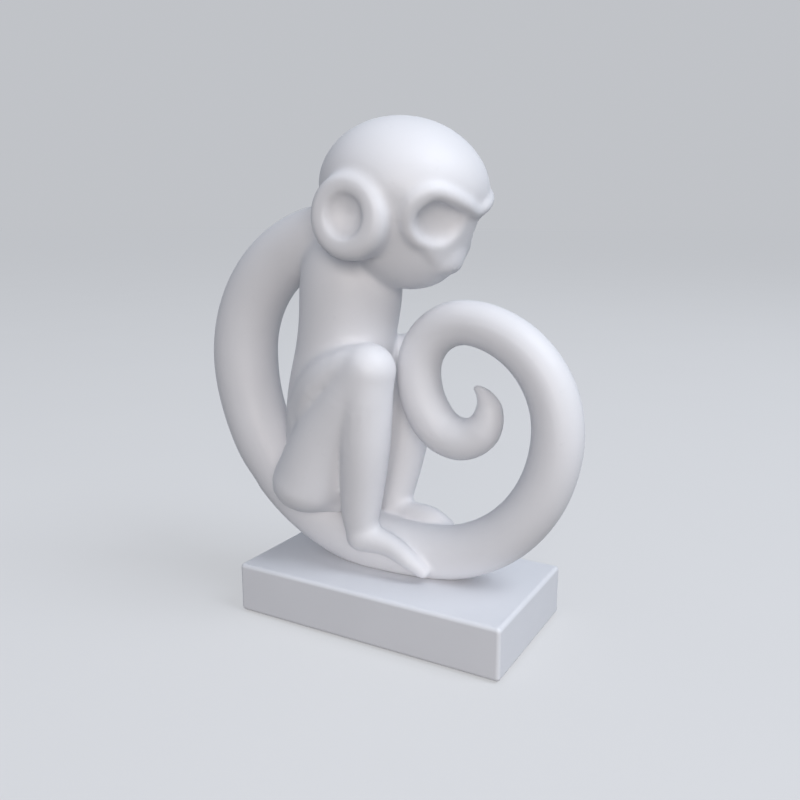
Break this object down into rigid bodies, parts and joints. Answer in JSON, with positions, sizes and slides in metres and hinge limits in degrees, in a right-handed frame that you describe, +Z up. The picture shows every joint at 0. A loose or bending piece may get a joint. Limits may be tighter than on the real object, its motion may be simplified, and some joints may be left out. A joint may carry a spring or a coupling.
{
  "type": "monkey figurine",
  "caption": "White cast ornament of a stylised armless monkey that sits on its own looped tail, glued up from cast pieces on a weighted plinth with a felt underside.",
  "frame": {"origin": "Centre of the felt's underside, the face that the ornament rests on.", "axes": "+X is the way the monkey looks, +Y its left side, +Z up."},
  "size_m": [0.1571, 0.0644, 0.1875],
  "materials": {
    "white_resin": "satin white cast resin, rubbed smooth",
    "plinth_resin": "satin white cast resin",
    "plate_resin": "grey moulded sheet",
    "steel": "plain steel",
    "brass": "turned brass",
    "ballast_iron": "rough cast iron",
    "felt": "dark pressed felt"
  },
  "bodies": {
    "root": {"plinth": "plinth_resin", "base_plate": "plate_resin", "base_plate_screws": "steel", "ballast": "ballast_iron", "felt_pad": "felt", "tail_screws": "steel", "tail_inserts": "brass", "tail_saddle": "white_resin", "tail_curl": "white_resin", "tail_root": "white_resin", "torso": "white_resin", "head": "white_resin", "right_ear": "white_resin", "left_ear": "white_resin", "right_leg": "white_resin", "left_leg": "white_resin", "right_foot": "white_resin", "left_foot": "white_resin", "root_dowel": "steel", "curl_dowel": "steel", "shoulder_dowel": "steel", "neck_dowel": "steel", "hip_dowels": "steel", "ankle_dowels": "steel", "ear_dowels": "steel"}
  },
  "joints": []
}
